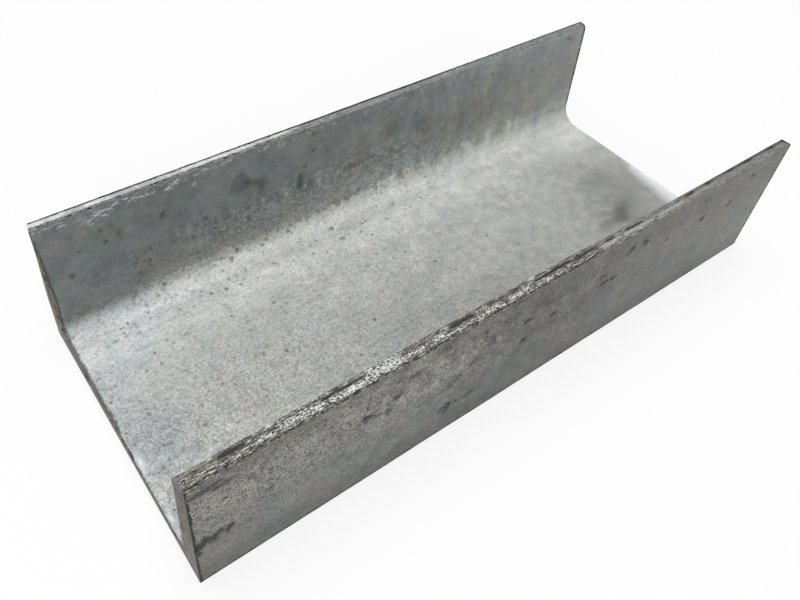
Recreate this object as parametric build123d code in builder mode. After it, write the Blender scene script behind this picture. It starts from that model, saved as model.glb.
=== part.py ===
"""A cut length of hot-rolled, hot-dip galvanized steel channel, lying on its web.

X runs along the channel, Y across the web and Z up, out of the trough. The origin is
the middle of the web's underside. Sizes are in millimetres.
"""

import os

from build123d import *

# The cut length and the nominal section.
channel_length = 237.0
web_width = 100.0  # over the backs of both flanges
flange_height = 50.0  # from the web's underside to the toes
web_thickness = 4.0

# A rolled flange is thicker where it leaves the web, so its inner face slopes.
flange_toe_thickness = 3.8
flange_root_thickness = 6.2

# The rolls leave a large round in each root, and nearly sharp heels and toes.
root_radius = 8.0
heel_radius = 0.8
inner_toe_radius = 0.5
outer_toe_radius = 0.6

# The sawn end at -X was dressed with a file, across the web and up the +Y flange.
end_bevel = 1.0
bevel_start = 14.0  # from the back of the other flange, which was left sharp

os.makedirs("parts", exist_ok=True)


back = web_width / 2
half_length = channel_length / 2
flange_slope = (flange_root_thickness - flange_toe_thickness) / (flange_height - web_thickness)

with BuildPart() as c_channel:
    # The section is drawn as its right half, from the web's middle out to the flange.
    with BuildSketch(Plane.YZ) as section:
        with BuildLine():
            Polyline(
                (0, 0),
                (back, 0),
                (back, flange_height),
                (back - flange_toe_thickness, flange_height),
                (back - flange_root_thickness, web_thickness),
                (0, web_thickness),
                close=True,
            )
        make_face()
        root = section.vertices().group_by(Axis.Y)[1].sort_by(Axis.X)[-1]
        fillet(root, root_radius)
        heel = section.vertices().group_by(Axis.Y)[0].sort_by(Axis.X)[-1]
        fillet(heel, heel_radius)
        mirror(about=Plane.YZ)
    extrude(amount=half_length, both=True)

    # The file ran along the trough's edge: the trough's own outline, pushed slantwise out
    # through the sawn face, into the web and the flange at once.
    bevel_reach = 2 * end_bevel
    with BuildSketch(Plane.YZ.offset(end_bevel - half_length)) as trough:
        start = bevel_start - back
        top = flange_height + bevel_reach
        with BuildLine():
            Polyline(
                (start, web_thickness),
                (back - flange_root_thickness, web_thickness),
                (back - flange_toe_thickness + flange_slope * bevel_reach, top),
                (start, top),
                close=True,
            )
        make_face()
        fillet(trough.vertices().group_by(Axis.Y)[0].sort_by(Axis.X)[-1], root_radius)
    slantwise = (-end_bevel, end_bevel, -end_bevel)
    extrude(amount=bevel_reach, dir=slantwise, both=True, mode=Mode.SUBTRACT)

    toes = c_channel.edges().filter_by(Axis.X).group_by(Axis.Z)[-1].sort_by(Axis.Y)
    fillet((toes[0], toes[-1]), outer_toe_radius)
    toes = c_channel.edges().filter_by(Axis.X).group_by(Axis.Z)[-1].sort_by(Axis.Y)
    fillet(toes[1:3], inner_toe_radius)

c_channel.part.label = "c_channel"
export_step(c_channel.part, "parts/c_channel.step")
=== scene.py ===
import math

import bmesh
import bpy
import numpy as np
from mathutils import Matrix, Vector, noise
from mathutils.geometry import delaunay_2d_cdt


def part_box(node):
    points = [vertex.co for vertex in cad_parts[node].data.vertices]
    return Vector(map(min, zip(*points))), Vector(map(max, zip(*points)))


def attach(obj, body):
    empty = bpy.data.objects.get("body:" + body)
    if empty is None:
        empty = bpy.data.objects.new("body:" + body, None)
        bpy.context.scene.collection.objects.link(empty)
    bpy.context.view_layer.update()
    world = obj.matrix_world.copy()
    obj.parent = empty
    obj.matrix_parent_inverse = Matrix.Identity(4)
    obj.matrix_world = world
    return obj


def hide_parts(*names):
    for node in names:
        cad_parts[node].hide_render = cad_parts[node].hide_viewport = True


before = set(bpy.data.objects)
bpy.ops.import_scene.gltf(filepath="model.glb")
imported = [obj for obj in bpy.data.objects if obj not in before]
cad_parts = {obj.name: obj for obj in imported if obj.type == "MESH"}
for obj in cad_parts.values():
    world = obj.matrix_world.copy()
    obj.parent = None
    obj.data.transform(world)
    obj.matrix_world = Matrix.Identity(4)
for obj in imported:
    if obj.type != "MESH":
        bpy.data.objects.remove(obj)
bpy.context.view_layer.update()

# The rolled section. One piece of hot-rolled steel channel: its inner faces slope and run into the
# web through a wide round, while the heels and toes are nearly sharp.
mm = 0.001
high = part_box("c_channel")[1]
half_length = high.x
back = high.y
height = high.z
web_thickness = 4.0 * mm
toe_thickness = 3.8 * mm
root_thickness = 6.2 * mm
root_radius = 8.0 * mm
heel_radius = 0.8 * mm
inner_toe_radius = 0.5 * mm
outer_toe_radius = 0.6 * mm

trough_pitch = 1.0 * mm
root_pitch = 0.85 * mm
toe_pitch = 0.26 * mm
toe_round_pitch = 0.2 * mm
near_back_pitch = 0.8 * mm
far_back_pitch = 2.0 * mm
underside_pitch = 2.5 * mm

slope = math.atan2(root_thickness - toe_thickness, height - web_thickness)
slope_degrees = math.degrees(slope)
root_y = back - root_thickness - root_radius * math.tan(math.radians(45) - slope / 2)


def run_straight(run, end_y, end_z, pitch, part):
    """Carries the outline on in a straight line to a point."""
    start_y, start_z = run[-1][:2]
    count = max(1, round(math.hypot(end_y - start_y, end_z - start_z) / pitch))
    for step in range(1, count + 1):
        share = step / count
        run.append((start_y + (end_y - start_y) * share, start_z + (end_z - start_z) * share, part))


def run_arc(run, centre_y, centre_z, radius, start_degrees, end_degrees, pitch, part):
    """Carries the outline on round an arc."""
    turn = math.radians(end_degrees - start_degrees)
    count = max(2, round(abs(turn) * radius / pitch))
    for step in range(1, count + 1):
        angle = math.radians(start_degrees) + turn * step / count
        run.append((centre_y + radius * math.cos(angle), centre_z + radius * math.sin(angle), part))


def half_outline(back_pitch):
    """Half of the section, from the middle of the trough out over the toe to the underside."""
    run = [(0.0, web_thickness, "web")]
    run_straight(run, root_y, web_thickness, trough_pitch, "web")
    run_arc(run, root_y, web_thickness + root_radius, root_radius, -90, -slope_degrees, root_pitch, "root")
    toe_z = height - inner_toe_radius
    toe_y = back - toe_thickness - inner_toe_radius * math.tan(slope) + inner_toe_radius / math.cos(slope)
    face_y = toe_y - inner_toe_radius * math.cos(slope)
    face_z = toe_z + inner_toe_radius * math.sin(slope)
    run_straight(run, face_y, face_z, trough_pitch, "inside")
    run_arc(run, toe_y, toe_z, inner_toe_radius, 180 - slope_degrees, 90, toe_round_pitch, "toe")
    run_straight(run, back - outer_toe_radius, height, toe_pitch, "toe")
    run_arc(run, back - outer_toe_radius, height - outer_toe_radius, outer_toe_radius, 90, 0,
            toe_round_pitch, "toe")
    run_straight(run, back, heel_radius, back_pitch, "back")
    run_arc(run, back - heel_radius, heel_radius, heel_radius, 0, -90, toe_pitch, "heel")
    run_straight(run, 0.0, 0.0, underside_pitch, "underside")
    return run


far_half = half_outline(far_back_pitch)
near_half = [(-y, z, part) for y, z, part in reversed(half_outline(near_back_pitch))]
outline = far_half[:-1] + near_half[:-1]
around = len(outline)
outline_y, outline_z, outline_part = (np.array(values) for values in zip(*outline))
run_y = np.roll(outline_y, -1) - np.roll(outline_y, 1)
run_z = np.roll(outline_z, -1) - np.roll(outline_z, 1)
run_length = np.hypot(run_y, run_z)
outline_out_y = -run_z / run_length
outline_out_z = run_y / run_length


# The sawn end nearest the camera. The saw ran a little out of square: the far wall's back corner
# is cut short at its toe, and the near wall's inner corner stands proud. The arris along the web
# and the far wall was taken off with a file, unevenly.
def ramp(start, end, value):
    """0 before start, 1 after end, and a smooth rise between them."""
    share = np.clip((value - start) / (end - start), 0.0, 1.0)
    return share * share * (3 - 2 * share)


def hump(centre, half_span, value):
    """1 at the centre, falling to 0 at half_span on either side."""
    return np.clip(1 - np.abs(value - centre) / half_span, 0.0, 1.0)


def noise_over(x, y, z, size_x, size_y, size_z, shift=0.0):
    """Smooth noise from -1 to 1 at each point, with lumps of the sizes given."""
    return np.array([noise.noise(Vector((a / size_x + shift, b / size_y - shift, c / size_z + shift)))
                     for a, b, c in zip(x, y, z)])


in_trough = np.isin(outline_part, ("web", "root", "inside"))
on_toe = outline_part == "toe"
far_side = outline_y > 0
across_wall = np.clip((back - np.abs(outline_y)) / toe_thickness, 0.0, 1.0)
outline_z_mm = outline_z / mm
outline_y_mm = outline_y / mm

short_far_back = 0.85 * mm * ramp(16, 50, outline_z_mm)
far_lean = short_far_back * (1 - across_wall) * (far_side & ~in_trough)
proud_near = -0.8 * mm * ramp(5, 14, outline_z_mm)
near_lean = proud_near * np.where(in_trough, 1.0, across_wall * on_toe) * ~far_side
rim_start = far_lean + near_lean

filed_wall = 0.4 * mm + 0.75 * mm * ramp(50, 24, outline_z_mm)
filed_web = (0.15 + 0.75 * ramp(-34, 30, outline_y_mm)) * mm
filed = np.where(far_side & (outline_part != "web"), filed_wall, filed_web) * in_trough
filed *= ramp(-40, -36, outline_y_mm)
filed_wander = noise_over(outline_y * 0, outline_y, outline_z, 1, 5 * mm, 5 * mm, 3.1)
filed_ripple = noise_over(outline_y * 0, outline_y, outline_z, 1, 1.6 * mm, 1.6 * mm, 7.7)
filed *= 1 + 0.35 * filed_wander + 0.3 * filed_ripple

dressed_depth = 1.3 * mm
dressed_rings = 4
clearly_filed = 0.45 * mm
near_ring_pitch = 0.75 * mm
far_ring_pitch = 1.25 * mm
rim_reach = np.where(filed > clearly_filed, filed, dressed_depth - rim_start)

plain_x = []
ring_at = -half_length + dressed_depth
while ring_at < half_length:
    along = (ring_at + half_length) / (2 * half_length)
    ring_at += near_ring_pitch + (far_ring_pitch - near_ring_pitch) * along
    plain_x.append(min(ring_at, half_length))
ring_count = dressed_rings + 1 + len(plain_x)

ring_x = np.zeros((ring_count, around))
sink = np.zeros((ring_count, around))
for ring in range(dressed_rings + 1):
    from_rim = rim_reach * ring / dressed_rings
    ring_x[ring] = -half_length + rim_start + from_rim
    sink[ring] = np.clip(filed - from_rim, 0, None)
for ring, place in enumerate(plain_x, dressed_rings + 1):
    ring_x[ring] = place

skin_x = ring_x.ravel()
skin_y = np.tile(outline_y, ring_count)
skin_z = np.tile(outline_z, ring_count)
out_y = np.tile(outline_out_y, ring_count)
out_z = np.tile(outline_out_z, ring_count)
part_of = np.tile(outline_part, ring_count)
is_far = skin_y > 0
is_toe = part_of == "toe"
is_inside = part_of == "inside"
is_web = part_of == "web"
is_root = part_of == "root"
is_bed = is_web | is_root
far_inside = is_inside & is_far
near_back = (part_of == "back") & ~is_far
near_toe = is_toe & ~is_far
far_toe = is_toe & is_far
in_trough_of = is_inside | is_bed
x_mm = skin_x / mm
y_mm = skin_y / mm
z_mm = skin_z / mm
end_mm = (skin_x + half_length) / mm
length_mm = 2 * half_length / mm
toe_across = (back - np.abs(skin_y)) / toe_thickness


# The zinc skin. The hot dip left it slightly wavy and lumpy, with runs along the web. It drained to
# the toes and set there as a rough broken bead, with scraped black grooves beside it.
def skin_noise(long_mm, across_mm, shift=0.0):
    """Smooth noise over the skin, with lumps of the sizes given."""
    return noise_over(skin_x, skin_y, skin_z, long_mm * mm, across_mm * mm, across_mm * mm, shift)


waves = skin_noise(34, 22)
lumps = skin_noise(6, 5, 11.3)
grit = skin_noise(2.3, 1.9, 27.9)
zinc_runs = skin_noise(60, 2.2, 5.7)
toe_crumbs = skin_noise(2.1, 1, 41)
toe_wander = skin_noise(9, 30, 63)

# Each stretch's start and end along the channel, its place across, half-width and strength.
near_bead_stretches = (
    (-119, -101, -48.3, 0.6, 0.25), (-101, -93, -48.5, 0.6, 0.62), (-93, -79, -48.1, 0.9, 0.75),
    (-79, -67, -48.3, 0.8, 1.45), (-67, -55, -47.9, 1.2, 1.25), (-56, -48, -48.4, 0.5, 0.85),
    (-46, -40, -48, 0.9, 0.85), (-39, -28, -48.6, 0.4, 0.68), (-28, -20, -48.3, 0.9, 0.82),
    (-19, -10, -48.3, 0.7, 0.78), (-11, -9, -47.4, 0.9, 0.7), (-8, 1, -48.8, 0.7, 0.55),
    (1, 8, -49, 0.5, 0.25), (13, 19, -49.2, 0.4, 0.35), (19, 27, -48.8, 0.85, 0.95),
    (29, 44, -48.7, 0.85, 0.9), (45, 60, -48.6, 0.75, 0.8), (60, 78, -48.5, 0.75, 0.55),
    (78, 119, -48.6, 0.8, 0.28),
)
near_groove_stretches = (
    (-119, -109, -47, 0.35, 0.4), (-109, -101, -47.1, 0.42, 1.1),
    (-81, -67, -47.2, 0.26, 1.35), (-60, -40, -46.9, 0.35, 0.4), (-40, -30, -47.1, 0.5, 0.85),
    (-26, -12, -46.9, 0.4, 0.55), (-8, 8, -47.3, 0.32, 1.25), (8, 19, -47.5, 0.65, 0.75),
    (22, 27, -47.5, 0.4, 1.00), (31, 40, -47.45, 0.35, 1.05), (40, 62, -47.4, 0.2, 0.6),
    (61, 67, -47.2, 0.5, 1.05), (66, 119, -46.6, 0.6, 0.6), (72, 77, -47.2, 0.45, 0.9),
    (84, 89, -47, 0.45, 0.85), (93, 99, -47, 0.5, 0.95), (107, 113, -47.1, 0.5, 0.9),
)


def stretches(listed, wander_mm):
    """Soft lines along the near toe, each over its own stretch."""
    total = np.zeros(len(skin_x))
    for start, end, across, half_width, strength in listed:
        there = ramp(start - 1.2, start + 1.6, x_mm) * (1 - ramp(end - 1.6, end + 1.2, x_mm))
        reach = 2 * half_width * (0.45 + 0.55 * there)
        total = np.maximum(total, strength * there * hump(across, reach, y_mm + wander_mm))
    return total * near_toe


near_bead = stretches(near_bead_stretches, 0.35 * toe_wander) * ramp(-49.6, -49.1, y_mm)
near_groove = stretches(near_groove_stretches, 0.2 * toe_wander)
far_bead = hump(48.2, 2.1, y_mm + 0.3 * toe_wander - 0.4 * hump(-30, 55, x_mm)) * far_toe
far_bead = far_bead * (1 - 0.75 * ramp(-32, -18, x_mm)) * ramp(22, 12, x_mm)
edge_bead = np.maximum(hump(-11, 9, y_mm) * 1.2, hump(-31, 7, y_mm) * 0.8)
edge_bead = is_web * hump(1.1, 1.9, end_mm) * edge_bead
bead = np.clip(near_bead + far_bead + edge_bead, 0, 1.2)

lift = 0.05 * mm * waves + 0.022 * mm * lumps + 0.014 * mm * grit
lift += 0.014 * mm * zinc_runs * is_bed
lift += is_toe * (0.07 * mm * toe_crumbs + 0.06 * mm * toe_wander)
lift += bead * (0.12 * mm + 0.08 * mm * toe_crumbs)
lift -= near_groove * 0.16 * mm
# Up to the middle, the zinc set square over the near wall's inner arris and a little proud of it.
over_arris = ~is_far * (toe_across > 0.85) * ramp(30, 5, x_mm)
square_corner = 1 / np.maximum(np.abs(out_y), np.abs(out_z)) - 1
lift += over_arris * is_toe * inner_toe_radius * square_corner
lift = np.where(part_of == "underside", -0.04 * mm + 0.03 * mm * waves, lift)
lift -= sink.ravel()
points = np.stack([skin_x, skin_y + out_y * lift, np.maximum(skin_z + out_z * lift, 0.0)], axis=1)

# The saw and the burr left the near wall's outer arris ragged.
ragged = noise_over(skin_x * 0, skin_y, skin_z, 1, 0.9 * mm, 0.9 * mm, 19.0)
burr = near_back * hump(0, 0.35, end_mm) * (0.12 + 0.16 * ragged) * mm
points[:, 1] -= burr
points[:, 1] += over_arris * 0.35 * mm * ramp(46.5, 49.6, z_mm)

# The far wall's inner arris is worn round towards its far end.
corner_gap = np.hypot(skin_y - (back - toe_thickness), skin_z - height)
worn = 0.55 * mm * np.clip(1 - corner_gap / (2.6 * mm), 0, 1) ** 2 * ramp(20, 100, x_mm)
points[:, 1] += worn
points[:, 2] -= worn

faces = []
for ring in range(ring_count - 1):
    first = ring * around
    for place in range(around):
        following = (place + 1) % around
        faces.append((first + place, first + following, first + around + following, first + around + place))


def in_metal(y, z):
    """Whether a point of the section lies in the metal."""
    over_y = abs(y) - root_y
    over_z = web_thickness + root_radius - z
    if over_y > 0 and over_z > 0:
        return math.hypot(over_y, over_z) > root_radius
    wall = toe_thickness + (root_thickness - toe_thickness) * (height - z) / (height - web_thickness)
    return z < web_thickness or back - abs(y) < wall


end_pitch = 0.75 * mm
clear_of_rim = 0.45 * mm
ripple_long = 9 * mm
ripple_high = 0.9 * mm
ripple_depth = 0.04 * mm


def close_end(all_points, ring, facing):
    """Fills one sawn end with small faces; the saw's ripples run across it."""
    first = ring * around
    rim = all_points[first:first + around]
    inner = []
    for row in range(int(height / end_pitch) + 1):
        for column in range(int(-back / end_pitch) - 1, int(back / end_pitch) + 2):
            y = (column + 0.5 * (row % 2)) * end_pitch
            z = row * end_pitch
            if in_metal(y, z) and np.hypot(rim[:, 1] - y, rim[:, 2] - z).min() > clear_of_rim:
                inner.append(Vector((y, z)))
    flat = [Vector((corner[1], corner[2])) for corner in rim] + inner
    spots, _, triangles, origins, _, _ = delaunay_2d_cdt(flat, [], [list(range(around))], 1, 1e-9)
    number_of = {}
    added = []
    for index, origin in enumerate(origins):
        if origin and origin[0] < around:
            number_of[index] = first + origin[0]
            continue
        y, z = spots[index]
        nearness = 1 / (np.square(rim[:, 1] - y) + np.square(rim[:, 2] - z))
        rim_x = float((nearness * rim[:, 0]).sum() / nearness.sum())
        ripple = noise.noise(Vector((y / ripple_long, z / ripple_high, 2.0 * facing)))
        number_of[index] = len(all_points) + len(added)
        added.append((rim_x - facing * ripple_depth * (1 + ripple), y, z))
    for triangle in triangles:
        faces.append(tuple(number_of[index] for index in triangle))
    return np.vstack([all_points, added])


points = close_end(points, 0, -1)
points = close_end(points, ring_count - 1, 1)
end_points = len(points) - len(skin_x)

channel_mesh = bpy.data.meshes.new("galvanized_channel")
channel_mesh.from_pydata([tuple(point) for point in points], [], faces)
shell = bmesh.new()
shell.from_mesh(channel_mesh)
bmesh.ops.recalc_face_normals(shell, faces=shell.faces)
shell.to_mesh(channel_mesh)
shell.free()
sharpest_smooth_degrees = 32
channel_mesh.shade_smooth()
channel_mesh.set_sharp_from_angle(angle=math.radians(sharpest_smooth_degrees))


def set_out(name, data):
    """Makes an object and sets it in the scene."""
    made = bpy.data.objects.new(name, data)
    bpy.context.scene.collection.objects.link(made)
    return made


channel = set_out("galvanized_channel", channel_mesh)


# Where the finish changes. The galvanized web kept a bright skin that stops high in the root's
# round; it is ragged by the near end and feathers upwards in streaks further on. Each soft mask
# is written on the channel's points, and the finish reads it below.
def store_mask(name, values, on_sawn_ends=0.0):
    """Writes one soft mask on the channel's points for its finish to read."""
    layer = channel_mesh.attributes.new(name, "FLOAT", "POINT")
    whole = np.concatenate([values, np.full(end_points, on_sawn_ends)])
    layer.data.foreach_set("value", whole.astype(np.float32))


def oval_marks(listed, where, across_mm):
    """Soft ovals: along, across or up, half-spans, strength and, for some, a turn in degrees."""
    total = np.zeros(len(skin_x))
    for along, over, half_along, half_over, strength, *degrees in listed:
        gap_x = x_mm - along
        gap_over = across_mm - over
        turn = math.radians(sum(degrees))
        reach_x = (gap_x * math.cos(turn) + gap_over * math.sin(turn)) / half_along
        reach_over = (gap_over * math.cos(turn) - gap_x * math.sin(turn)) / half_over
        total = np.maximum(total, strength * np.clip(1.5 - np.hypot(reach_x, reach_over), 0, 1))
    return total * where


def most_of(*shares):
    """The strongest of several shares at each point."""
    return np.maximum.reduce(shares)


streaky = ramp(-15, 30, x_mm) * (1 - 0.8 * ramp(70, 105, x_mm))
bright_edge = 9.9 + 0.6 * ramp(-105, -60, x_mm) + 1.6 * streaky - 1.2 * hump(48, 22, x_mm)
bright_edge += 1.0 * noise_over(skin_x, skin_y * 0, skin_z * 0, 9 * mm, 1, 1, 3.3)
bright_fade = 2.0 + 2.4 * streaky + 6.0 * ramp(25, 75, x_mm)
bright_web = np.clip((bright_edge - z_mm) / bright_fade, -3, 1)
bright_web = np.where(in_trough_of, bright_web, -3.0)
store_mask("bright_web", bright_web, -3.0)
store_mask("streaky", streaky)
store_mask("ragged", 1.0 - 0.55 * ramp(-20, 20, x_mm) - 0.3 * ramp(45, 75, x_mm))
store_mask("zinc_bead", bead)
pale_lip = near_toe * ramp(8, 22, x_mm)
bead_speckle = np.where(far_toe, 0.2, 1.0 - 0.8 * pale_lip)
bead_speckle = np.where(is_web, 0.1, bead_speckle)
store_mask("bead_speckle", bead_speckle, 1.0)
store_mask("pale_lip", pale_lip)
store_mask("groove", near_groove)

# The toes are scraped along their length, and so is the top of the near wall's face.
scraped_face = ramp(41, 48.5, z_mm) * (0.7 - 0.35 * ramp(-108, -92, x_mm))
scraped = most_of(is_toe * 1.0, near_back * scraped_face * (1 - 0.6 * ramp(-30, 20, x_mm)))
scraped *= 1 - 0.75 * ramp(0, 75, x_mm)
scraped = np.where(far_toe, 0.35 - 0.25 * ramp(-30, 0, x_mm), scraped)
store_mask("scraped", scraped)

# Thin pale flakes just under the far wall's toe, and pale crumbs between them.
flakes = (
    (-101.2, 46.2, 3, 0.6, 1, 22), (-97.4, 47.4, 2.6, 0.8, 1.1, 10), (-93.4, 48.2, 2.2, 0.7, 1, 14),
    (-88.6, 48, 2.6, 0.6, 0.9, -18), (-82.8, 47.7, 3.4, 0.7, 0.9, 4), (-98, 45.4, 3.6, 0.5, 0.7, 12),
    (-107, 47.6, 3.6, 0.5, 0.6, 6), (-74.6, 47, 1.9, 0.9, 1.1, 28), (-72.2, 48.4, 1.6, 0.8, 1.1, 24),
    (-62.8, 48.3, 3.6, 0.6, 0.9), (-66, 44.8, 1.2, 0.8, 0.6, 10), (-54.5, 48.7, 2.4, 0.6, 0.7),
)
crumbs = (
    (-42, 47.8, 0.9, 1.4, 1.15), (-38.6, 48.4, 2.6, 0.8, 1, 4), (-32, 47.4, 2, 0.8, 0.9, 8),
    (-28.8, 48.2, 1.4, 1.2, 1), (-20.6, 49, 3, 0.8, 0.9), (-11.4, 48.2, 1.4, 1.2, 1),
    (-4.8, 48.4, 1.3, 1, 1), (2.8, 46.8, 1.5, 1.1, 1.1, -30), (12, 49.4, 3.6, 0.8, 0.8),
    (29, 48.4, 2.4, 1.2, 1, 20), (33, 49.6, 4, 0.8, 0.8), (45, 47.8, 1.4, 1.1, 0.9),
    (58.5, 48.2, 3.6, 1.2, 0.8), (79.5, 48, 2.6, 1.2, 0.7),
)
under_lip = 0.2 * hump(48.6, 3.0, z_mm) * far_inside * ramp(-45, -55, x_mm)
store_mask("flaking", most_of(oval_marks(flakes, far_inside, z_mm), under_lip))
crumbled = ramp(-52, -38, x_mm) * ramp(80, 48, x_mm) * hump(48.2, 3.0, z_mm) * far_inside
crumbled = most_of(0.76 * crumbled, oval_marks(crumbs, far_inside, z_mm))
specked = ramp(34, 24, z_mm) * ramp(-90, -50, x_mm) * ramp(75, 25, x_mm) * far_inside
store_mask("crumbled", most_of(crumbled, 0.64 * specked))

# Dark lines along the arrises, on the toes' edges and round both sawn ends, and painted shadow on the heels
# and along the foot of the near wall's face.
filed_of = np.tile(rim_start + filed, ring_count) / mm
outer_dirt = near_toe * hump(0.07, 0.15, toe_across) * ramp(45, 10, x_mm)
inner_dirt = far_toe * hump(0.86, 0.16, toe_across + 0.08 * toe_wander)
far_dirt_reach = 0.18 + 0.05 * ramp(-50, -40, x_mm) - 0.1 * ramp(20, 50, x_mm) + 0.06 * waves
arris = most_of(
    near_toe * hump(0.975, 0.06, toe_across) * 0.58,
    outer_dirt * (0.4 + 0.12 * hump(-70, 14, x_mm) + 0.1 * hump(-30, 14, x_mm)),
    far_toe * ramp(far_dirt_reach + 0.18, far_dirt_reach, toe_across) * 1.4,
    inner_dirt * 0.52 * ramp(-25, -40, x_mm),
    # Painted shadow on the heel and at the foot of the near wall's face.
    (part_of == "heel") * 1.0,
    near_back * ramp(2.2, 0.8, z_mm) * 0.75,
    is_bed * hump(filed_of - 0.2, 0.34, end_mm) * 0.8 * ramp(-4, -8, y_mm),
    near_back * hump(0, 1.0, end_mm) * (1.15 + 1.5 * ragged),
    (end_mm < 0.02) * np.isin(part_of, ("back", "underside", "heel")) * 0.9,
    hump(length_mm, 1.3, end_mm) * ~is_bed * 1.05,
)
store_mask("arris_dirt_and_shade", arris)
cut_line = far_inside * (1 - 0.3 * ramp(28, 36, z_mm)) + is_bed * 0.85 * ramp(-4, 4, y_mm)
cut_line *= hump(filed_of, 0.36, end_mm)
store_mask("cut_line", most_of(cut_line, 0.62 * outer_dirt))

sawn = in_trough_of * (1 - ramp(0.8, 1.0, end_mm / np.maximum(filed_of, 0.05))) * (filed_of > 0.1)
sawn = most_of(sawn, (end_mm < 0.02) * 1.0)
store_mask("sawn_steel", sawn, 1.0)

# Stains and scuffs, placed one by one.
near_back_stains = (
    (-117, 20.4, 1.5, 2.4, 0.92), (-114.9, 22.2, 1.6, 2, 0.92, 40), (-113, 20.6, 1.4, 2.4, 0.92),
    (-110.8, 22.4, 1.5, 1.6, 0.85, -20), (-108.6, 21.4, 1.4, 1.8, 1.05), (-117.6, 17.2, 1.1, 1.6, 1),
    (-97.1, 28.6, 1.7, 0.9, 0.8, 10), (-114.6, 45.2, 4.6, 1, 1.3, 4), (-109, 43.6, 3.4, 0.9, 1, 6),
    (-82, 45.5, 2.4, 0.9, 0.6), (-99, 36, 1.4, 0.9, 0.45), (-109.4, 36.6, 1.3, 0.9, 0.45),
    (-66.8, 34.6, 3.6, 1.4, 0.8, -12), (-63, 32.6, 2.2, 1.2, 0.65), (-58.4, 36.4, 3.4, 2, 0.85, 20),
    (-60, 32, 1.6, 3.2, 0.75), (-52.8, 41.6, 3.2, 1.6, 0.75, 10), (-57, 44, 1.8, 1.2, 0.6),
    (-85, 33.4, 1.5, 1.6, 0.65), (-41.2, 46.6, 2, 2.2, 0.85), (-37, 48.8, 5, 1.2, 0.7),
    (-36, 14.6, 3.2, 2, 1.1, 16), (-32, 13.6, 2.6, 1.2, 1), (-36.2, 11.2, 1.4, 1.8, 0.8),
    (-27, 13.8, 2.8, 1, 0.75, 20), (-37, 25, 2.6, 2, 0.7, 40), (-33.6, 27.2, 2.8, 1.6, 0.7, 40),
    (-28.4, 31, 2.6, 1.4, 0.8, 30), (-23, 36.4, 1.8, 2.8, 0.75), (-21.6, 20, 1.4, 2, 0.5),
    (-7.6, 25.8, 1.4, 1.3, 1.3), (4.2, 31, 1.5, 1.1, 1.5, 10), (-8, 35.8, 1.5, 1, 1.3),
    (-0.6, 38.8, 1.6, 1, 0.9, 20), (-17, 48.6, 4, 1.3, 0.9), (-26, 43, 1.6, 2.4, 0.65),
    (25, 35.4, 1.6, 1.2, 0.9), (27, 31.4, 2.4, 1.1, 1.2, 8), (31.4, 31.2, 2.2, 1, 1.1),
    (35.6, 41.6, 1.8, 1.4, 0.9, 20), (42.6, 42, 1.8, 2.4, 0.6, 20), (15, 7.6, 2.6, 2, 0.5),
    (55.9, 35, 2.4, 1.6, 0.3), (76.2, 35.4, 1.8, 1.4, 1.3), (69.6, 41, 1.5, 1.1, 0.55),
    (69.6, 35.2, 1.4, 1.1, 0.5), (72.8, 44.8, 1.5, 1, 0.65), (80.2, 44.6, 1.6, 1, 0.7),
    (91.8, 34.4, 1.6, 1.2, 1.05), (97.2, 30.4, 1.5, 1, 0.6), (100, 43.8, 1.5, 1, 1),
    (106, 44.6, 1.4, 0.9, 0.45), (73.6, 12.8, 1.6, 1.2, 0.5), (80.6, 17.2, 1.6, 1.3, 0.42),
    (82, 11, 2, 1.2, 0.36), (109.8, 26, 1.6, 1.4, 0.32),
)
far_inside_stains = (
    (-78.6, 37, 1, 1.1, 1.2, 10), (-77.6, 38.6, 0.9, 0.7, 0.8), (-72.7, 34.7, 1, 0.9, 0.8),
    (-64.1, 29.3, 0.9, 1, 1.1), (-67.7, 28.2, 1.1, 1, 0.8), (-61, 23.4, 1, 0.9, 0.7),
    (-97.9, 35.9, 0.9, 0.8, 1.2, 10), (-93.2, 36.6, 0.8, 1.6, 0.7), (-110.2, 27.6, 1, 1, 1.2),
    (-103.4, 24.3, 0.9, 0.9, 0.8), (-99, 23.1, 1.1, 0.7, 0.8, 10), (-93.6, 28.2, 0.9, 0.8, 0.8),
    (-90.3, 22.2, 1.1, 0.9, 0.9), (-106.2, 35.9, 0.9, 0.8, 0.8), (-98.8, 40.8, 0.9, 0.7, 0.8),
    (-89.6, 17.2, 1, 0.9, 0.8), (-86, 21, 1.2, 1, 0.7), (-82.2, 8.6, 1.1, 0.9, 1.2),
    (-42.6, 36, 1.6, 0.9, 0.7, -12), (-42, 33.4, 1.4, 1.4, 0.65), (-24, 34.6, 0.9, 0.9, 1.2),
    (-26.2, 31.2, 1, 1.2, 1.1), (-26.4, 27.4, 1.4, 2.6, 0.95, -8), (-22, 26.6, 1.4, 1.6, 0.8),
    (-20.4, 40.2, 0.8, 0.8, 1.1), (-20.3, 46.6, 0.9, 1, 0.9), (-35.5, 26, 1.2, 1, 0.7),
    (-31.2, 21, 1.1, 1.6, 0.7), (-47.6, 22, 1, 1.8, 0.7), (-53.6, 9.4, 1.2, 0.8, 1.2, -20),
    (-56.8, 7.6, 0.8, 0.8, 1), (-32.4, 8.6, 0.8, 1.1, 1.2), (-5.9, 12, 0.9, 0.9, 1),
    (0.2, 13.2, 0.9, 0.9, 1), (-3, 26, 2.6, 1.2, 0.6), (7, 26.6, 1.6, 1.2, 0.55),
    (9, 10, 0.9, 1.4, 0.9), (22.6, 10.4, 2.2, 0.9, 0.8, -40), (65.6, 43.3, 1.2, 0.8, 1, 10),
    (62, 24.4, 1.6, 0.9, 0.6), (77, 21, 2.2, 2, 0.4), (109.4, 46, 2, 1.8, 0.6),
)
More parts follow.
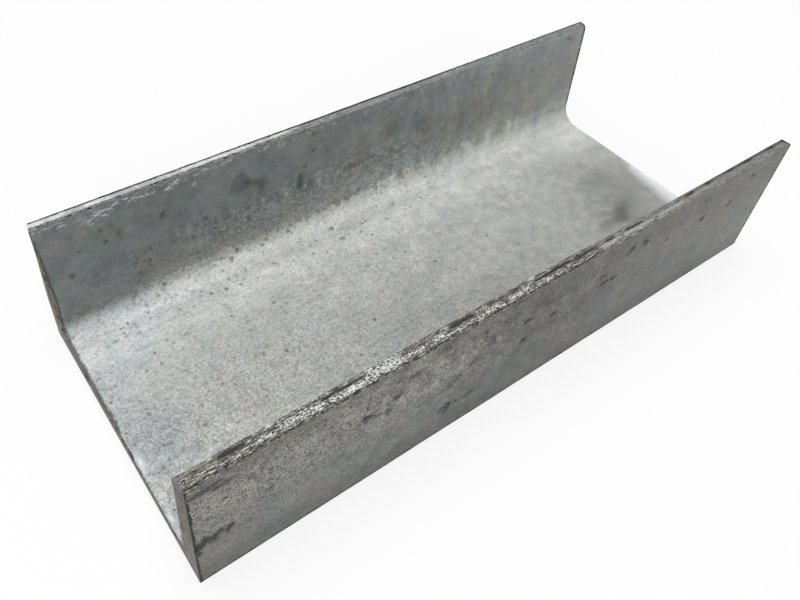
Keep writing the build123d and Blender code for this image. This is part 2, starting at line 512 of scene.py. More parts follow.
web_stains = (
    (-112.4, 39.2, 0.9, 1.2, 1.1), (-107.5, 38.6, 0.8, 0.9, 1.1), (-102, 39.2, 1.6, 0.8, 1.1, 8),
    (-104.9, 33.6, 1, 0.7, 1), (-107.9, 33.5, 0.9, 0.6, 0.8), (-101.5, 33.5, 0.9, 0.6, 0.8),
    (-97.3, 32.4, 0.9, 0.9, 1), (-91.8, 40.9, 1, 1, 1), (-86.7, 39.1, 1, 0.8, 0.9),
    (-81.6, 39.7, 0.9, 0.8, 1), (-75.6, 37.4, 0.9, 0.9, 1), (-72.8, 38.8, 0.8, 0.8, 0.9),
    (-66.8, 43.2, 0.9, 1, 1), (-64.5, 37.2, 0.8, 1, 0.9), (-60.8, 39.4, 0.8, 0.8, 0.9),
    (-84.2, 32, 2.2, 0.7, 0.8, 10), (-81, 31.4, 1.2, 1, 0.7), (-45.1, 39.4, 1, 0.8, 1),
    (-41.4, 42.8, 0.8, 1.1, 1.2), (-33.3, 41.8, 0.8, 1.3, 1.2, -10), (-42.4, 34, 1.2, 0.6, 0.8),
    (-82, 18.5, 0.8, 0.7, 0.9), (-91.1, 13.4, 0.9, 0.7, 0.9), (-96.7, -8, 0.8, 0.7, 0.8),
    (-69.8, 3.2, 0.8, 0.8, 0.8), (-67.6, 2.6, 0.8, 0.8, 0.8), (-68.4, 4.6, 0.8, 0.6, 0.7),
    (-14.5, 33, 1.5, 0.9, 1.3, 5), (-15.2, 16.4, 1, 0.9, 0.8, 30), (-12.4, 41.2, 1.2, 1.4, 1),
    (-16.8, 42.6, 1, 1, 0.9), (-50.4, 41.2, 0.9, 0.9, 0.9), (-56, 35, 0.8, 0.8, 0.8),
    (20.1, 40.2, 1, 1.2, 0.6), (28, 38.6, 0.9, 1.2, 0.6), (84, 3.6, 2.2, 0.7, 0.7),
    (86.6, -4.6, 2.4, 0.8, 0.45),
)
soft_patches = (
    (89.8, -14.4, 4.8, 2.6, 0.34, 20), (86.6, -17, 5, 2.4, 0.36, -8), (80.6, -16.6, 4.6, 2.2, 0.27),
    (94.4, -12.4, 4.2, 2.6, 0.2, 20), (84, -12.2, 3, 1.6, 0.2, -20), (82, -4.4, 4, 1.4, 0.12),
    (86, -1, 3, 1.2, 0.1, 30), (78, 1, 2.6, 1.6, 0.1, -30), (98, 6, 10, 5, 0.11, 20),
    (60, 10, 9, 4, 0.05, 10), (101, 16, 6, 3, 0.07, 20),
)
stain = oval_marks(near_back_stains, near_back, z_mm)
stain = np.minimum(stain, 1.3 - 0.3 * ramp(-20, 20, x_mm))
stain *= 1.15 - 0.33 * ramp(-108, -98, x_mm) + 0.18 * ramp(-22, -12, x_mm)
store_mask("stain", stain)
spots = oval_marks(far_inside_stains, far_inside | is_root, z_mm)
store_mask("spots", most_of(spots, 0.9 * oval_marks(web_stains, is_web, y_mm)))

# Warm, brownish oxide on the near wall's upper half and low on the far wall's inside.
far_brown_patches = (
    (-107, 42, 12, 6, 0.32, 10), (-83, 22, 8, 8, 0.65, -20), (-55, 20, 10, 8, 0.65, -20),
    (-30, 18, 8, 8, 0.6), (-3, 24, 8, 6, 0.5), (14, 36, 7, 9, 0.45), (33, 30, 7, 8, 0.6),
    (50, 26, 12, 9, 0.6),
)
warm_back = near_back * (0.55 + 0.65 * ramp(22, 38, z_mm + 5 * waves))
warm_back += 0.3 * near_back * ramp(-96, -106, x_mm) * ramp(26, 18, z_mm)
warm = most_of(
    warm_back,
    near_toe * 0.6,
    oval_marks(far_brown_patches, far_inside, z_mm),
    far_inside * (0.15 + 0.42 * ramp(30, 65, x_mm) * ramp(44, 34, z_mm)),
    far_inside * ramp(20, 11, z_mm) * 0.7,
    is_bed * (0.4 + 0.45 * ramp(-116, -70, x_mm - 0.4 * y_mm + 10 * waves)),
)
store_mask("warm_oxide", warm, 0.7)

# Brown dirt gathered low on the far wall.
dirt = far_inside * hump(17, 11, z_mm) * ramp(-108, -88, x_mm) * (1 - 0.7 * ramp(-35, 20, x_mm))
fringe = hump(9.8, 3.0, z_mm) * (1 - 0.5 * ramp(-60, -20, x_mm)) * ramp(20, -20, x_mm)
dirt = most_of(dirt, (is_root | far_inside) * is_far * 0.85 * fringe)
store_mask("low_dirt", dirt)


def by_face(elsewhere, on_back, on_inside, on_bed):
    """One value each for the near wall's face, the far wall's inside and the bed, one elsewhere."""
    values = np.where(near_back, on_back, elsewhere)
    values = np.where(far_inside, on_inside, values)
    return np.where(is_bed, on_bed, values)


# How coarse the zinc's grain is: sandy by the near end, smoother towards the far one.
speckled = ramp(-100, -65, x_mm) * ramp(45, 15, x_mm) * ramp(34, 26, z_mm)
sandy_back = 2.3 - 1.35 * ramp(-45, 0, x_mm) - 0.5 * ramp(0, 60, x_mm)
sandy_back *= 0.38 + 0.62 * ramp(12, 36, z_mm)
sandy_back += 0.35 * ramp(-20, 40, x_mm) * ramp(32, 14, z_mm)
coarse_back = sandy_back * (0.58 + 0.3 * ramp(-50, 0, x_mm))
fine_inside = 0.06 + 0.14 * speckled
coarse_bed = 0.34 + 0.3 * ramp(8, -4, y_mm) * ramp(-15, -90, x_mm)
coarse_bed -= 0.28 * ramp(-20, 60, x_mm)
coarse_bed *= (1 - 0.45 * ramp(18, 30, y_mm)) * (1 - 0.22 * ramp(8, 0, y_mm))
store_mask("sandy", by_face(0.8, sandy_back, fine_inside, 0.7 * coarse_bed), 0.6)
store_mask("coarse", by_face(0.8, coarse_back, fine_inside, coarse_bed), 0.6)

# Where the grain is combed aslant, and how sharply it is speckled, dot by dot.
combed_back = 0.6 * ramp(-70, -30, x_mm)
store_mask("combed", by_face(0.0, combed_back, ramp(-100, -70, x_mm), 0.0))
crisp_back = 0.52 - 0.42 * ramp(-20, 30, x_mm) + 0.16 * hump(-52, 40, x_mm)
crisp_back *= 0.25 + 0.75 * ramp(14, 32, z_mm)
crisp_bed = 0.07 - 0.05 * ramp(0, 60, x_mm) + 0.07 * ramp(8, -4, y_mm)
store_mask("crisp", by_face(0.1, crisp_back, 0.05 + 0.19 * speckled, crisp_bed), 0.2)

# How mottled it is over two or three millimetres, and how blotchy over more.
mottled_back = 0.5 + 0.65 * ramp(-80, -45, x_mm) - 0.8 * ramp(-15, 40, x_mm)
mottled_back *= 0.55 + 0.45 * ramp(10, 36, z_mm)
mottled_inside = 0.55 + 0.6 * speckled - 0.15 * ramp(40, 80, x_mm)
near_corner = ramp(-84, -104, x_mm) * ramp(0, -16, y_mm)
mottled_bed = 0.36 + 0.75 * near_corner - 0.16 * ramp(45, 80, x_mm)
store_mask("mottled", by_face(0.7, mottled_back, mottled_inside, mottled_bed), 0.6)
blotchy_back = 0.8 + 1.2 * ramp(-90, -60, x_mm) - 1.4 * ramp(-20, 50, x_mm)
blotchy_back *= 0.6 + 0.4 * ramp(8, 34, z_mm)
store_mask("blotchy", by_face(0.6, blotchy_back, 0.6, 0.32 + 0.2 * ramp(45, 80, x_mm)), 0.6)

# Where the zinc froze in creased, leathery blobs.
leathery = is_bed * (1.0 - 0.55 * ramp(0, 60, x_mm)) + near_back * 0.35 * ramp(10, -40, x_mm)
store_mask("leathery", leathery)

# Where small dark pits are thick on the ground.
pitted_bed = (0.16 + 0.84 * ramp(26, 36, y_mm)) * (1 - 0.92 * ramp(10, 60, x_mm))
pitted_inside = 0.3 + 0.9 * ramp(32, 22, z_mm) * ramp(-95, -60, x_mm)
pitted_inside *= 1 - 0.9 * ramp(5, 60, x_mm)
root_dots = hump(10.5, 7, z_mm) * ramp(-112, -100, x_mm) * ramp(55, 25, x_mm)
root_dots *= is_far * (is_inside | is_root)
pitted = by_face(0.0, 0.22, pitted_inside, pitted_bed)
store_mask("pitted", most_of(pitted, 1.3 * root_dots))

# A painted highlight: the glare off the web's far arris by the near wall, and glints along its near arris.
highlight_reach = 3.0 + 7.4 * ramp(22, -22, y_mm)
painted_highlight = is_web * hump(length_mm, highlight_reach, end_mm) * ramp(22, -10, y_mm)
near_glare = most_of(0.7 * hump(-11.5, 9, y_mm), 0.45 * hump(-32, 8, y_mm))
painted_highlight = most_of(painted_highlight, is_web * hump(1.5, 2.1, end_mm) * near_glare)
store_mask("painted_highlight", painted_highlight)


def shades(listed, over_mm):
    """Adds up soft patches: a strength, a ramp or hump along the channel, and one across or up."""
    return sum(strength * along(x1, x2, x_mm) * over(over1, over2, over_mm)
               for strength, along, x1, x2, over, over1, over2 in listed)


# How light the zinc is on the whole, face by face, with painted light and shade in it: the web first.
# Painted light makes the web lighter towards the far root.
web_tone_and_shading = 0.9 + 0.2 * ramp(-14, 20, y_mm) + 0.42 * ramp(18, 34, y_mm) + shades((
    (-0.1, ramp, 70, 100, ramp, 30, 6), (-0.22, ramp, -98, -112, ramp, 33, 38),
    (-0.12, hump, -94, 20, ramp, 33, 38), (0.06, hump, -74, 26, ramp, 2, -8),
), y_mm)
web_middle = ramp(-80, -50, x_mm) * ramp(60, -20, x_mm)
web_tone_and_shading -= 0.3 * ramp(33, 40, y_mm) * web_middle
web_tone_and_shading = 1.05 * web_tone_and_shading - oval_marks(soft_patches, is_web, y_mm) - 0.08 * ramp(40, 75, x_mm)
# Painted shade darkens a strip of the web by the near wall.
web_tone_and_shading += shades((
    (-0.05, ramp, 78, 92, ramp, 16, 4), (-0.1, hump, 20, 48, ramp, -7, -14),
    (0.12, ramp, 98, 108, ramp, -8, -14), (-0.07, ramp, -92, -106, ramp, 14, 8),
    (0.06, hump, -72, 44, hump, 21, 14), (-0.07, hump, 92, 16, ramp, 32, 10),
    (0.08, ramp, -76, -92, ramp, -7, -13), (-0.09, ramp, -94, -108, ramp, 36, 40),
    (-0.07, hump, 10, 40, ramp, -8, -14), (0.05, hump, 50, 30, hump, 4, 12),
), y_mm)

# The far root, with a painted highlight along its round.
root_tone_and_highlight = 0.84 + 0.7 * ramp(-118, -70, x_mm) - 0.14 * ramp(10, 70, x_mm)
# Painted highlight along the root's round.
root_tone_and_highlight += 0.12 * hump(7, 3, z_mm) - 0.16 * ramp(90, 112, x_mm) - 0.06 * ramp(96, 108, x_mm)
for middle, half_span, strength in ((0, 34, 0.14), (-20, 60, 0.08), (-50, 14, 0.12), (10, 12, 0.1)):
    root_tone_and_highlight += strength * hump(middle, half_span, x_mm)
root_tone_and_highlight += shades((
    (0.24, ramp, -90, -105, ramp, 9.5, 6.0), (0.1, hump, 70, 18, ramp, 6.5, 9.5),
), z_mm)
root_share = is_root * is_far * ramp(4.1, 6.5, z_mm)

# The near wall's face, painted darker towards its foot as shade.
back_tone_and_shade = 0.98 - 0.17 * ramp(-42, -18, x_mm) + shades((
    (0.1, ramp, 45, 90, ramp, 45, 30), (0.1, ramp, -25, -60, hump, 33, 14),
), z_mm)
# Painted shade: darker towards the foot.
back_tone_and_shade *= 1 - 0.2 * ramp(13, 3, z_mm)
back_tone_and_shade = back_tone_and_shade * (1 - 0.14 * hump(-4, 34, x_mm) * ramp(6, 14, z_mm)) + shades((
    (0.08, ramp, -40, -62, hump, 40, 16), (-0.06, ramp, -20, -40, ramp, 14, 6),
    (0.1, hump, -44, 26, hump, 36, 9), (-0.1, hump, -40, 26, ramp, 22, 12),
    (-0.07, hump, 18, 30, hump, 27, 12),
), z_mm)
back_tone_and_shade -= 0.12 * ramp(-48, -30, x_mm) * ramp(88, 60, x_mm) * ramp(37, 41, z_mm)
back_tone_and_shade = back_tone_and_shade * (1.04 - 0.05 * ramp(11, 7, z_mm) * ramp(90, 70, x_mm)) + shades((
    (0.08, ramp, -15, -30, hump, 36, 12), (-0.06, hump, -4, 44, hump, 14, 9),
), z_mm)
back_tone_and_shade *= 1 + 0.07 * ramp(28, 33, z_mm) * ramp(-12, -28, x_mm)
back_tone_and_shade *= 1 - 0.055 * ramp(-12, 4, x_mm) * ramp(102, 92, x_mm)
back_tone_and_shade = back_tone_and_shade * (1 - 0.05 * ramp(20, 8, z_mm) * ramp(100, 90, x_mm)) + shades((
    (0.07, ramp, 96, 106, ramp, 22, 12), (0.1, ramp, -97, -105, ramp, 28, 35),
    (0.15, hump, -40, 28, hump, 35, 9), (-0.13, hump, -31, 17, hump, 17, 13),
    (0.07, hump, -92, 18, hump, 28, 14), (-0.08, hump, 4, 30, hump, 27, 10),
    (0.08, ramp, -30, -60, hump, 35, 12), (-0.08, hump, 26, 16, hump, 26, 8),
), z_mm)

# The far wall's inside, with the dark smudge that has corners.
dark_patches = (
    (-45.2, 36.6, 3.2, 1.1, 0.4, -28), (-41.8, 34.6, 2.4, 2, 0.36, -12), (-42, 32, 1.8, 1.8, 0.3),
    (-26, 28, 2.2, 3.4, 0.28, -8), (-78.8, 37.2, 1.8, 1.6, 0.22), (-93.2, 36.6, 1.4, 2.4, 0.22),
    (-1, 29, 7, 4, 0.14), (16, 36.5, 4, 4, 0.16), (32, 32, 6, 6, 0.22), (50, 28, 4, 4, 0.12),
    (70, 27, 4, 4, 0.1), (80, 33, 3, 3, 0.1),
)
smudge = ((-51.9, 42.2), (-48.3, 42.2), (-46.2, 37.4), (-47.2, 35), (-50.4, 34.4), (-53, 35), (-54.2, 37.4))
smudge_depth = np.full(len(skin_x), 9.0)
for (from_x, from_z), (to_x, to_z) in zip(smudge, smudge[1:] + smudge[:1]):
    side = (x_mm - from_x) * (to_z - from_z) - (z_mm - from_z) * (to_x - from_x)
    smudge_depth = np.minimum(smudge_depth, side / math.hypot(to_x - from_x, to_z - from_z))
far_tone = 1.04 + 0.26 * ramp(-110, 70, x_mm) + shades((
    (0.5, ramp, -118, -60, ramp, 26, 13), (-0.18, ramp, 20, 50, ramp, 24, 13),
), z_mm)
far_tone = 0.96 * far_tone - oval_marks(dark_patches, far_inside, z_mm)
far_tone = far_tone - 0.34 * np.clip(0.5 + smudge_depth / 0.7, 0, 1) + 0.03 * hump(-66, 50, x_mm)
far_tone += shades((
    (-0.16, hump, 50, 16, ramp, 24, 16), (0.1, ramp, 60, 70, hump, 23, 12),
    (0.12, hump, 70, 18, hump, 12, 5), (0.09, hump, 58, 34, ramp, 36, 42),
    (0.18, hump, -30, 18, ramp, 30, 18), (-0.06, hump, -15, 60, ramp, 24, 36),
), z_mm)

# The toes, and all of it put together.
toe_tone = 0.88 + is_far * (0.14 * hump(0, 30, x_mm) - 0.16 * hump(-58, 26, x_mm))
toe_tone -= 0.5 * ~is_far * ramp(55, 95, x_mm) * ramp(0.5, 0.7, toe_across)
toe_tone -= 0.26 * ~is_far * hump(9, 13, x_mm)
tone_and_shading = by_face(1.0, back_tone_and_shade, far_tone, web_tone_and_shading)
tone_and_shading += (root_tone_and_highlight - tone_and_shading) * root_share
store_mask("tone_and_shading", np.where(is_toe, toe_tone, tone_and_shading), 1.0)

# The finish. Zinc from the hot dip, in the metal's own greys; the masks above say where it changes.
zinc = bpy.data.materials.new("galvanized_zinc")
zinc.use_nodes = True
tree = zinc.node_tree
tree.nodes.clear()


def place_node(kind, inputs, **options):
    """Adds a node, sets its options, and links or sets its inputs."""
    made = tree.nodes.new("ShaderNode" + kind)
    for name, value in options.items():
        setattr(made, name, value)
    for name, value in inputs.items():
        socket = made.inputs[name]
        if isinstance(value, bpy.types.NodeSocket):
            tree.links.new(value, socket)
        else:
            socket.default_value = (*value, 1.0) if socket.type == "RGBA" else value
    return made


def mask(name):
    """Reads one of the channel's soft masks."""
    return place_node("Attribute", {}, attribute_name=name).outputs["Fac"]


def sums(operation, first, second, third=0.0):
    """One step of arithmetic."""
    return place_node("Math", {0: first, 1: second, 2: third}, operation=operation).outputs[0]


def times(first, second):
    """One value times another."""
    return sums("MULTIPLY", first, second)


def blend_colour(share, first, second, kind="MIX"):
    """Mixes two colours by a share."""
    inputs = {0: share, 6: first, 7: second}
    return place_node("Mix", inputs, data_type="RGBA", blend_type=kind).outputs[2]


def spread(value, from_low, from_high, to_low=0.0, to_high=1.0):
    """Stretches a value from one range to another, clamped."""
    inputs = {0: value, 1: from_low, 2: from_high, 3: to_low, 4: to_high}
    return place_node("MapRange", inputs, interpolation_type="SMOOTHSTEP").outputs[0]


object_place = place_node("TexCoord", {}).outputs["Object"]


def stretched(scale_x, scale_y, scale_z):
    """The point on the object, stretched so that a pattern runs one way."""
    return place_node("Mapping", {"Vector": object_place, "Scale": (scale_x, scale_y, scale_z)}).outputs[0]


def slanting(length, degrees):
    """The point on the object, stretched so that a pattern slopes down along the channel."""
    turn = (0.0, math.radians(degrees), 0.0)
    inputs = {"Vector": object_place, "Rotation": turn, "Scale": (length, 1, 1)}
    return place_node("Mapping", inputs, vector_type="TEXTURE").outputs[0]


def noise_node(vector, scale, detail, coarseness):
    """Noise from 0 to 1, first as one value and then as a colour."""
    return place_node("TexNoise", {"Vector": vector, "Scale": scale, "Detail": detail,
                                   "Roughness": coarseness}).outputs


def speckle(vector, scale, detail, coarseness):
    """Noise from 0 to 1."""
    return noise_node(vector, scale, detail, coarseness)[0]


def swing(value, amount):
    """Turns noise round a half into a factor round one."""
    return sums("MULTIPLY_ADD", sums("SUBTRACT", value, 0.5), amount, 1.0)


def swayed(base, value, amount):
    """Adds noise round a half to a mask."""
    return sums("MULTIPLY_ADD", sums("SUBTRACT", value, 0.5), amount, base)


patches = speckle(object_place, 50, 3.0, 0.55)
blotches = speckle(object_place, 140, 4.0, 0.6)
mottle = speckle(object_place, 360, 4.0, 0.65)
grain = speckle(object_place, 1150, 2.0, 0.7)
fine_grain = speckle(object_place, 2500, 2.0, 0.7)
crisp_grain = spread(speckle(object_place, 1500, 1.0, 0.6), 0.36, 0.64)
lengthwise = speckle(stretched(0.06, 1.0, 1.0), 700, 3.0, 0.65)
upright = speckle(stretched(1.0, 1.0, 0.16), 230, 3.0, 0.6)
slanted = speckle(slanting(3.5, 50), 330, 3.0, 0.6)
combed_grain = speckle(slanting(2.4, 50), 1150, 2.0, 0.7)
combed_grain = place_node("Mix", {0: mask("combed"), 2: grain, 3: combed_grain}).outputs[0]


def scaled_and_moved(vector, factor, shift):
    """Multiplies a vector by the same factor on each side and adds another."""
    inputs = {0: vector, 1: (factor, factor, factor), 2: shift}
    return place_node("VectorMath", inputs, operation="MULTIPLY_ADD").outputs[0]


bend = 0.9 * mm
bent_place = scaled_and_moved(noise_node(object_place, 900, 1, 0.5)[1], bend, object_place)

# The bright web gives way to the dull walls in a ragged, speckled line.
raggedness = mask("ragged")
ragged_edge = swayed(mask("bright_web"), mottle, times(raggedness, 5.5))
ragged_edge = swayed(ragged_edge, combed_grain, times(raggedness, 2.4))
ragged_edge = swayed(ragged_edge, upright, times(mask("streaky"), 1.5))
bright_share = spread(ragged_edge, -0.65, 0.45)

wall_cool = (0.223, 0.245, 0.243)
wall_warm = (0.241, 0.238, 0.215)
web_cool = (0.435, 0.463, 0.47)
web_warm = (0.425, 0.43, 0.412)

warm_share = spread(swayed(swayed(mask("warm_oxide"), patches, 1.2), blotches, 0.8), 0.15, 0.85)
wall_colour = blend_colour(warm_share, wall_cool, wall_warm)
web_colour = blend_colour(warm_share, web_cool, web_warm)
skin = blend_colour(bright_share, wall_colour, web_colour)

# Patches, blotches and grain lighten and darken the zinc.
coarse_mask = mask("coarse")
blotchy_mask = mask("blotchy")
grains = times(swing(combed_grain, times(coarse_mask, 3.3)), swing(crisp_grain, mask("crisp")))
grains = times(grains, swing(fine_grain, times(mask("sandy"), 2.8)))
# The tone mask holds painted light and shade as well as the zinc's own tone.
shade = mask("tone_and_shading")
for factor in (
    swing(patches, 0.4),
    swing(blotches, times(blotchy_mask, 1.1)),
    swing(mottle, times(mask("mottled"), 1.3)),
    sums("MINIMUM", grains, 1.3),
    swing(lengthwise, 0.2),
    swing(upright, sums("MULTIPLY_ADD", mask("streaky"), 0.5, 0.1)),
    swing(slanted, times(blotchy_mask, 0.5)),
):
    shade = times(shade, factor)
shade_colour = place_node("CombineColor", {0: shade, 1: shade, 2: shade}).outputs[0]
skin = blend_colour(1.0, skin, shade_colour, "MULTIPLY")

# Faint green, blue and purple tints drift through the zinc.
tint = scaled_and_moved(noise_node(object_place, 110, 2, 0.5)[1], 0.17, (0.915, 0.915, 0.915))
tint_share = sums("MULTIPLY_ADD", bright_share, -0.45, 1.0)
skin = blend_colour(tint_share, skin, tint, "MULTIPLY")


def laid_over(share, strength, colour):
    """Lays a colour over the skin as it is so far."""
    return blend_colour(times(share, strength), skin, colour)


def roughened(name, low, high, *noises):
    """A mask made ragged by noises, each with its amount, and drawn tighter."""
    value = mask(name)
    for ragged_noise, amount in noises:
        value = swayed(value, ragged_noise, amount)
    return spread(value, low, high)


def marks_of(name, low, high, *noises):
    """The same, but clear wherever the mask is nought."""
    return times(roughened(name, low, high, *noises), spread(mask(name), 0.02, 0.25))


# Creases, and brown dirt in the far root.
creases = sums("ABSOLUTE", sums("SUBTRACT", speckle(bent_place, 620, 2.0, 0.5), 0.5), 0.0)
crease_share = times(spread(creases, 0.03, 0.004), mask("leathery"))
skin = laid_over(crease_share, 0.42, (0.11, 0.112, 0.102))

dirt_share = roughened("low_dirt", 0.55, 1.05, (mottle, 2.8), (grain, 1.8))
skin = laid_over(dirt_share, 0.46, (0.11, 0.097, 0.08))


# Soft dark pits and flecks of uneven size and shape.
def pits_of(scale, widest, share_of_cells):
    """Scattered soft round marks, each of its own size and depth."""
    cells = place_node("TexVoronoi", {"Vector": bent_place, "Scale": scale})
    dice = place_node("SeparateColor", {"Color": cells.outputs["Color"]})
    size = sums("MULTIPLY_ADD", dice.outputs[0], widest * 0.6, widest * 0.4)
    pit = sums("SUBTRACT", 1.0, sums("DIVIDE", cells.outputs["Distance"], size))
    pit = spread(swayed(pit, grain, 1.3), 0.05, 0.6)
    chosen = sums("LESS_THAN", dice.outputs[1], times(mask("pitted"), share_of_cells))
    depth = sums("MULTIPLY_ADD", dice.outputs[2], 0.5, 0.5)
    return times(times(pit, chosen), depth)


wide_pits = pits_of(210.0, 0.3, 0.55)
small_pits = pits_of(400.0, 0.42, 0.6)
pits = sums("MAXIMUM", wide_pits, times(small_pits, 0.9))
pits = times(pits, sums("MULTIPLY_ADD", bright_share, 0.35, 0.65))
skin = laid_over(pits, 0.66, (0.075, 0.076, 0.066))

# Stains, spots, flakes and crumbs.
stain_share = marks_of("stain", 0.35, 0.9, (mottle, 2.2), (grain, 2.6), (crisp_grain, 0.5))
skin = laid_over(stain_share, 0.88, (0.03, 0.035, 0.032))
spot_share = marks_of("spots", 0.2, 1.1, (mottle, 1.8), (grain, 2.0))
skin = laid_over(spot_share, 0.66, (0.075, 0.078, 0.066))

flake_lines = speckle(slanting(4.5, -8), 2000, 2.0, 0.6)
flake_share = marks_of("flaking", 0.5, 0.95, (flake_lines, 5.5))
skin = laid_over(flake_share, 0.85, (0.66, 0.68, 0.69))
crumb_grain = speckle(object_place, 760, 1.5, 0.5)
crumb_share = marks_of("crumbled", 0.84, 1.2, (mottle, 2.2), (crumb_grain, 3.0))
crumb_share = times(crumb_share, spread(mask("crumbled"), 0.66, 0.9, 0.46, 0.85))
skin = blend_colour(crumb_share, skin, (0.6, 0.62, 0.59))

# The toes are streaked along their length, light and nearly black by turns.
toe_streaks = speckle(stretched(0.12, 1.0, 1.0), 2600, 3.0, 0.75)
toe_crumb = speckle(stretched(0.5, 1.0, 1.0), 2700, 2.0, 0.6)
streak_mix = sums("MULTIPLY_ADD", toe_crumb, 0.35, times(toe_streaks, 0.65))
black_streak = (0.022, 0.02, 0.017)
grey_streak = (0.19, 0.182, 0.16)
toe_dark = blend_colour(spread(streak_mix, 0.45, 0.51), black_streak, grey_streak)
toe_colour = blend_colour(spread(streak_mix, 0.535, 0.59), toe_dark, (0.62, 0.6, 0.52))
skin = blend_colour(mask("scraped"), skin, toe_colour)

groove_share = marks_of("groove", 0.36, 0.74, (toe_crumb, 1.8), (toe_streaks, 1.4))
skin = laid_over(groove_share, 0.9, (0.022, 0.023, 0.021))

# The bead along the toes is bright zinc, broken by dark specks.
broken_bead = mask("bead_speckle")
bead_share = marks_of("zinc_bead", 0.36, 0.72, (toe_crumb, times(broken_bead, 3.0)),
                      (toe_streaks, times(broken_bead, 1.8)))
bead_share = times(bead_share, sums("MULTIPLY_ADD", groove_share, -0.9, 1.0))
bead_colour = blend_colour(spread(toe_crumb, 0.42, 0.54), (0.07, 0.07, 0.06), (0.6, 0.62, 0.6))
smooth_bead = blend_colour(spread(blotches, 0.38, 0.6), (0.38, 0.4, 0.41), (0.7, 0.72, 0.72))
smooth_bead = blend_colour(mask("pale_lip"), smooth_bead, (0.315, 0.325, 0.308))
bead_colour = blend_colour(broken_bead, smooth_bead, bead_colour)
skin = blend_colour(bead_share, skin, bead_colour)

# A painted highlight on the web's arrises, sawn steel at the ends, and black dirt and painted shadow along
# the arrises.
highlight_share = roughened("painted_highlight", 0.04, 1.0, (blotches, 0.4))
# The painted highlight is laid on in near white.
skin = blend_colour(highlight_share, skin, (0.84, 0.86, 0.88))

saw_lines = speckle(stretched(1.0, 0.15, 1.0), 1600, 2.0, 0.6)
dark_steel = (0.13, 0.125, 0.115)
pale_steel = (0.24, 0.23, 0.21)
steel_colour = blend_colour(spread(saw_lines, 0.38, 0.62), dark_steel, pale_steel)
steel_colour = blend_colour(spread(blotches, 0.46, 0.64), steel_colour, (0.185, 0.16, 0.15))
steel_colour = blend_colour(spread(mottle, 0.54, 0.4), steel_colour, (0.07, 0.066, 0.058))
steel_share = roughened("sawn_steel", 0.4, 0.6, (grain, 0.8))
skin = blend_colour(steel_share, skin, steel_colour)

arris_dirt_shade_share = marks_of("arris_dirt_and_shade", 0.3, 0.62, (mottle, 1.4), (grain, 2.0))
skin = laid_over(arris_dirt_shade_share, 0.92, (0.016, 0.015, 0.013))
cut_share = marks_of("cut_line", 0.25, 0.85, (mottle, 1.2))
skin = laid_over(cut_share, 0.75, (0.05, 0.046, 0.038))

# Pits are rougher, the bead and the painted highlight smoother.
gloss = swayed(0.56, mottle, 0.24)
for share, change in ((pits, 0.2), (bead_share, -0.14), (highlight_share, -0.28)):
    gloss = sums("MULTIPLY_ADD", share, change, gloss)

relief = sums("MULTIPLY_ADD", grain, 0.7, times(fine_grain, 0.35))
relief = sums("MULTIPLY_ADD", relief, coarse_mask, times(pits, -0.06))
relief = sums("MULTIPLY_ADD", toe_crumb, bead_share, relief)
relief = sums("MULTIPLY_ADD", crease_share, -0.5, relief)
relief_height = 0.15 * mm
bump = place_node("Bump", {"Strength": 0.6, "Distance": relief_height, "Height": relief}).outputs[0]

# Dirt, painted shadow, pits and stains do not shine.
dull = sums("MAXIMUM", sums("MAXIMUM", arris_dirt_shade_share, groove_share), sums("MAXIMUM", stain_share, pits))
dull = sums("MAXIMUM", dull, sums("MAXIMUM", spot_share, cut_share))
shine = sums("MULTIPLY_ADD", dull, -0.32, 0.42)

shader = place_node("BsdfPrincipled", {"Base Color": skin, "Roughness": gloss, "Metallic": 0.3,
                                       "Specular IOR Level": shine, "Normal": bump})
place_node("OutputMaterial", {"Surface": shader.outputs[0]})
channel_mesh.materials.append(zinc)

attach(channel, "root")
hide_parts("c_channel")

# The floor. A plain pale studio floor, painted matt, that the channel lies on. The camera and the
# reflections see it white, and it keeps the channel's shadow.
floor_mesh = bpy.data.meshes.new("floor")
floor_reach = 6.0
floor_level = -0.2 * mm
corner_turns = ((-1, -1), (1, -1), (1, 1), (-1, 1))
floor_corners = [(floor_reach * x, floor_reach * y, floor_level) for x, y in corner_turns]
floor_mesh.from_pydata(floor_corners, [], [(0, 1, 2, 3)])
floor = set_out("floor", floor_mesh)
floor_paint = bpy.data.materials.new("floor_paint")
floor_paint.use_nodes = True
tree = floor_paint.node_tree
tree.nodes.clear()


def seen_directly():
    """1 for what the camera, a reflection or clear glass sees, and 0 for what lights the scene."""
    rays = place_node("LightPath", {})
    straight = sums("MAXIMUM", rays.outputs["Is Camera Ray"], rays.outputs["Is Glossy Ray"])
    return sums("MAXIMUM", straight, rays.outputs["Is Transmission Ray"])


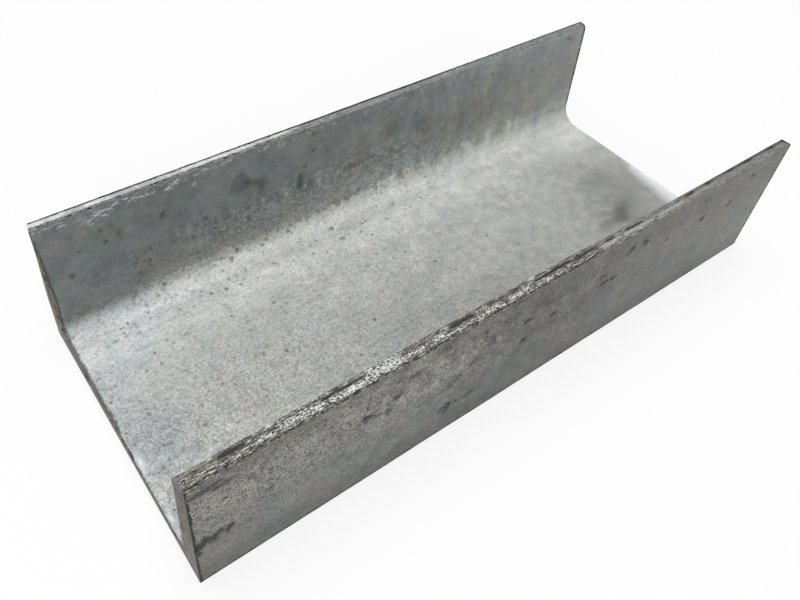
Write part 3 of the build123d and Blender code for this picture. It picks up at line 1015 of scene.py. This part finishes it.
seen = seen_directly()
floor_colour = blend_colour(seen, (0.45, 0.45, 0.45), (0.98, 0.98, 0.98))
floor_shader = place_node("BsdfDiffuse", {"Color": floor_colour})
white = place_node("Emission", {"Color": (1.0, 1.0, 1.0), "Strength": 1.0})
white_share = times(seen, 0.78)
floor_surface = place_node("MixShader", {0: white_share, 1: floor_shader.outputs[0], 2: white.outputs[0]})
place_node("OutputMaterial", {"Surface": floor_surface.outputs[0]})
floor_mesh.materials.append(floor_paint)


# The light. A wide soft box hangs overhead and a lower one stands in front, both of white cloth over
# a frame, in a soft even surround.
def soft_box(name, place, size, watts):
    """Hangs one square soft light and turns it to the middle of the channel."""
    data = bpy.data.lights.new(name, "AREA")
    data.size = size
    data.energy = watts
    lamp = set_out(name, data)
    lamp.location = place
    lamp.rotation_mode = "QUATERNION"
    lamp.rotation_quaternion = (-Vector(place)).to_track_quat("-Z", "Y")


soft_box("light_above", (-0.15, 0.05, 1.6), 1.4, 17.8)
soft_box("light_front", (-0.7, -1.6, 0.9), 1.2, 9.0)

world = bpy.data.worlds.new("studio")
bpy.context.scene.world = world
world.use_nodes = True
tree = world.node_tree
tree.nodes.clear()
sky_level = spread(seen_directly(), 0.0, 1.0, 0.35, 1.0)
sky = place_node("Background", {"Color": (1.0, 1.0, 1.0), "Strength": sky_level})
place_node("OutputWorld", {"Surface": sky.outputs[0]})

# The camera. It stands close over the near end, as the photograph was taken, and looks down along
# the trough. Its place and turn were solved from the channel's own straight edges.
photo_width, photo_height = 800, 600
focal_pixels = 769.3
view_centre = (346.7, 244.8)
camera_place = Vector((-0.14368, -0.13129, 0.20724))
camera_look = Vector((0.44451, 0.55548, -0.70275)).normalized()
camera_right = Vector((0.81304, -0.57949, 0.05623)).normalized()
camera_up = camera_right.cross(camera_look)

camera_data = bpy.data.cameras.new("camera")
camera_data.sensor_width = 36.0
camera_data.lens = focal_pixels * camera_data.sensor_width / photo_width
camera_data.shift_x = (photo_width / 2 - view_centre[0]) / photo_width
camera_data.shift_y = (view_centre[1] - photo_height / 2) / photo_width
camera_data.clip_start = 0.01
camera = set_out("camera", camera_data)
camera.location = camera_place
camera.rotation_mode = "QUATERNION"
camera.rotation_quaternion = Matrix((camera_right, camera_up, -camera_look)).transposed().to_quaternion()
bpy.context.scene.camera = camera

bpy.context.scene.view_settings.view_transform = "Standard"
